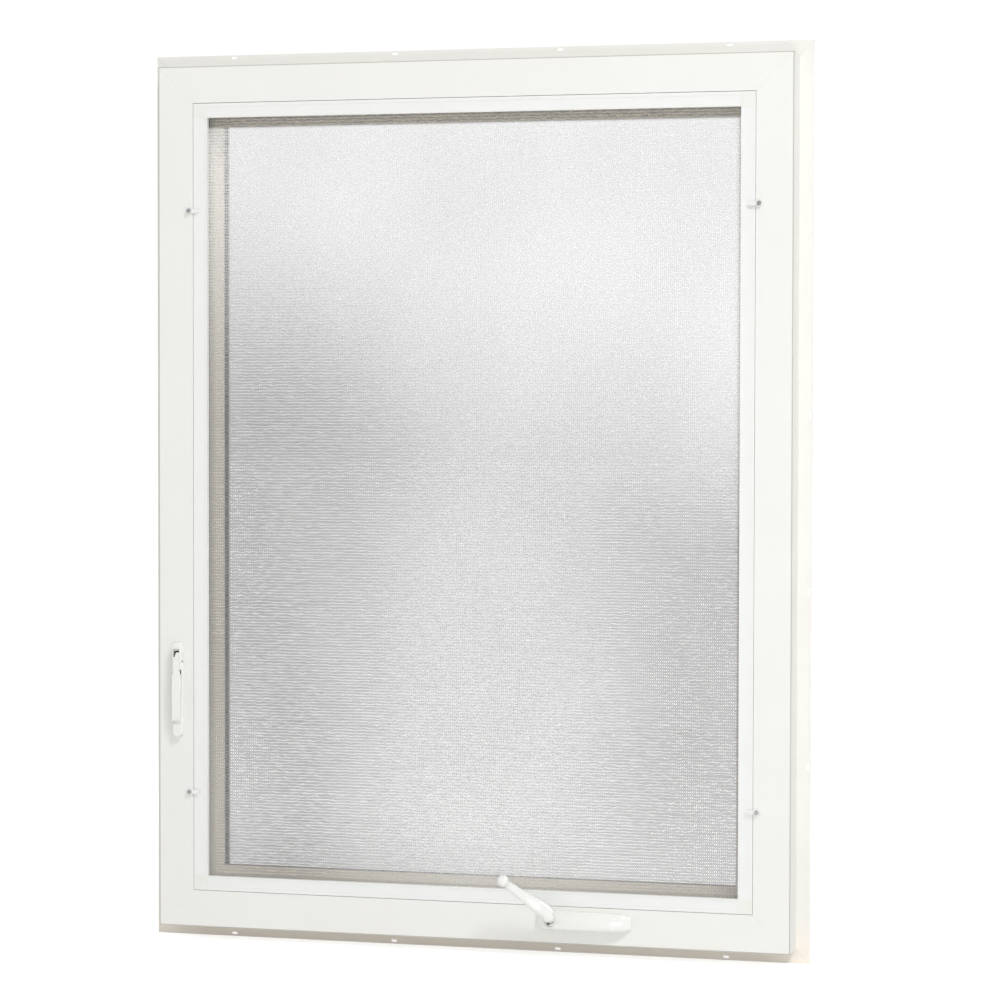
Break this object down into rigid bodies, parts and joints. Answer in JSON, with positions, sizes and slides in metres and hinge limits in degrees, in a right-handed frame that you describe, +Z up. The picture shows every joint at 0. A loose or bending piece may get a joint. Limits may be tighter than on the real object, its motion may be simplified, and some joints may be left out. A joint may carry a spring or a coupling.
{
  "type": "casement window",
  "caption": "White vinyl casement window with a crank operator, lever lock, inside insect screen and nailing fin.",
  "frame": {"origin": "middle of the window, on the room-side (seating) face of the nailing fin", "axes": "+X towards the hinge jamb as seen from the room, +Y out of the house, +Z up"},
  "size_m": [0.9398, 0.157, 1.2446],
  "materials": {
    "vinyl_frame": "co-extruded white PVC, satin",
    "vinyl_fin": "white PVC fin, slightly yellowed, satin",
    "vinyl_sash": "white PVC, satin",
    "seal_grey": "thermoplastic seal, matt",
    "screen_white": "white enamelled aluminium, semi-gloss",
    "corner_white": "moulded white nylon",
    "spline_grey": "vinyl cord, matt",
    "mesh_silver": "woven bright aluminium wire",
    "glass_clear": "float glass",
    "spacer_metal": "mill-finish aluminium",
    "sealant_black": "butyl, matt",
    "steel_zinc": "zinc plated",
    "steel_dark": "oiled hardened steel",
    "diecast_white": "white enamel on zinc die casting, gloss",
    "diecast_grey": "bare zinc die casting",
    "nylon_white": "moulded nylon",
    "bronze": "sintered bronze",
    "cover_white": "moulded white plastic"
  },
  "bodies": {
    "frame": {"frame_head": "vinyl_frame", "frame_sill": "vinyl_frame", "frame_jamb_lock": "vinyl_frame", "frame_jamb_hinge": "vinyl_frame", "nail_fins": "vinyl_fin", "stop_seals": "seal_grey", "weep_covers": "vinyl_frame", "hinge_tracks": "steel_zinc", "track_anchors": "steel_zinc", "frame_hardware_screws": "steel_zinc", "operator_housing": "diecast_grey", "operator_cover": "cover_white", "gear_pivot_pin": "steel_dark", "worm_bushing": "bronze", "lock_case": "diecast_white", "lock_escutcheon": "diecast_white", "lever_pivot_pin": "steel_dark", "lock_screws": "steel_zinc", "tie_bar_guides": "nylon_white", "screen_bars": "screen_white", "screen_corners": "corner_white", "screen_spline": "spline_grey", "screen_mesh": "mesh_silver", "clip_screws": "steel_zinc"},
    "support_arm": {"support_arms": "steel_zinc", "arm_posts": "steel_zinc"},
    "sash": {"sash_rail_top": "vinyl_sash", "sash_rail_bottom": "vinyl_sash", "sash_stile_lock": "vinyl_sash", "sash_stile_hinge": "vinyl_sash", "glazing_beads": "vinyl_sash", "glass_room_side": "glass_clear", "glass_weather_side": "glass_clear", "glass_spacer": "spacer_metal", "edge_sealant": "sealant_black", "glazing_tape": "sealant_black", "setting_blocks": "seal_grey", "sash_arms": "steel_zinc", "operator_guide": "steel_zinc", "keepers": "steel_zinc", "sash_hardware_screws": "steel_zinc"},
    "hinge_shoe": {"hinge_shoes": "nylon_white"},
    "operator_arm": {"gear_arm": "steel_zinc", "arm_roller": "nylon_white", "roller_rivet": "steel_zinc"},
    "crank": {"worm_shaft": "steel_dark", "crank_handle": "diecast_white", "crank_set_screw": "steel_dark", "knob_pin": "steel_zinc"},
    "knob": {"crank_knob": "diecast_white"},
    "lock_lever": {"lock_lever": "diecast_white", "lever_drive_pin": "steel_dark"},
    "tie_bar": {"tie_bar": "steel_zinc", "tie_bar_rollers": "steel_zinc", "roller_rivets": "steel_zinc"},
    "clip_top_lock": {"screen_clip_top_lock": "diecast_white"},
    "clip_top_hinge": {"screen_clip_top_hinge": "diecast_white"},
    "clip_bottom_lock": {"screen_clip_bottom_lock": "diecast_white"},
    "clip_bottom_hinge": {"screen_clip_bottom_hinge": "diecast_white"}
  },
  "joints": [
    {"name": "arm_swing", "type": "hinge", "parent": "frame", "child": "support_arm", "pos_m": [0.223, 0.0015, 0], "axis": [0, 0, 1], "range_deg": [0, 80]},
    {"name": "sash_swing", "type": "hinge", "parent": "support_arm", "child": "sash", "pos_m": [0.313, 0.0015, 0], "axis": [0, 0, 1], "range_deg": [-160, 0]},
    {"name": "shoe_turn", "type": "hinge", "parent": "sash", "child": "hinge_shoe", "pos_m": [0.403, 0.0015, 0], "axis": [0, 0, 1], "range_deg": [0, 80]},
    {"name": "operator_arm_swing", "type": "hinge", "parent": "frame", "child": "operator_arm", "pos_m": [0.155, -0.0135, -0.57425], "axis": [0, 0, 1], "range_deg": [0, 46.46]},
    {"name": "crank_turn", "type": "hinge", "parent": "frame", "child": "crank", "pos_m": [0.124, -0.0745, -0.564], "axis": [0, -0.9397, 0.342], "range_deg": [-1951.49, 0]},
    {"name": "knob_spin", "type": "hinge", "parent": "crank", "child": "knob", "pos_m": [0.0697, -0.10514, -0.51163], "axis": [0, -0.9397, 0.342], "continuous": true},
    {"name": "lock_lever_turn", "type": "hinge", "parent": "frame", "child": "lock_lever", "pos_m": [-0.42085, -0.0515, -0.22925], "axis": [-1, 0, 0], "range_deg": [0, 130]},
    {"name": "tie_bar_slide", "type": "slide", "parent": "frame", "child": "tie_bar", "axis": [0, 0, -1], "range_m": [0, 0.02175]},
    {"name": "clip_turn_top_lock", "type": "hinge", "parent": "frame", "child": "clip_top_lock", "pos_m": [-0.40485, -0.0465, 0.40225], "axis": [0, 1, 0], "range_deg": [0, 90]},
    {"name": "clip_turn_top_hinge", "type": "hinge", "parent": "frame", "child": "clip_top_hinge", "pos_m": [0.40485, -0.0465, 0.40225], "axis": [0, 1, 0], "range_deg": [0, 90]},
    {"name": "clip_turn_bottom_lock", "type": "hinge", "parent": "frame", "child": "clip_bottom_lock", "pos_m": [-0.40485, -0.0465, -0.41325], "axis": [0, 1, 0], "range_deg": [0, 90]},
    {"name": "clip_turn_bottom_hinge", "type": "hinge", "parent": "frame", "child": "clip_bottom_hinge", "pos_m": [0.40485, -0.0465, -0.41325], "axis": [0, 1, 0], "range_deg": [0, 90]}
  ],
  "couplings": [
    {"joint": "sash_swing", "follows": "arm_swing", "ratio": -2},
    {"joint": "shoe_turn", "follows": "arm_swing", "ratio": 1},
    {"joint": "operator_arm_swing", "follows": "arm_swing", "ratio": 0.5808},
    {"joint": "crank_turn", "follows": "arm_swing", "ratio": -24.394},
    {"joint": "tie_bar_slide", "follows": "lock_lever_turn", "m_per_rad": 0.0095865}
  ]
}
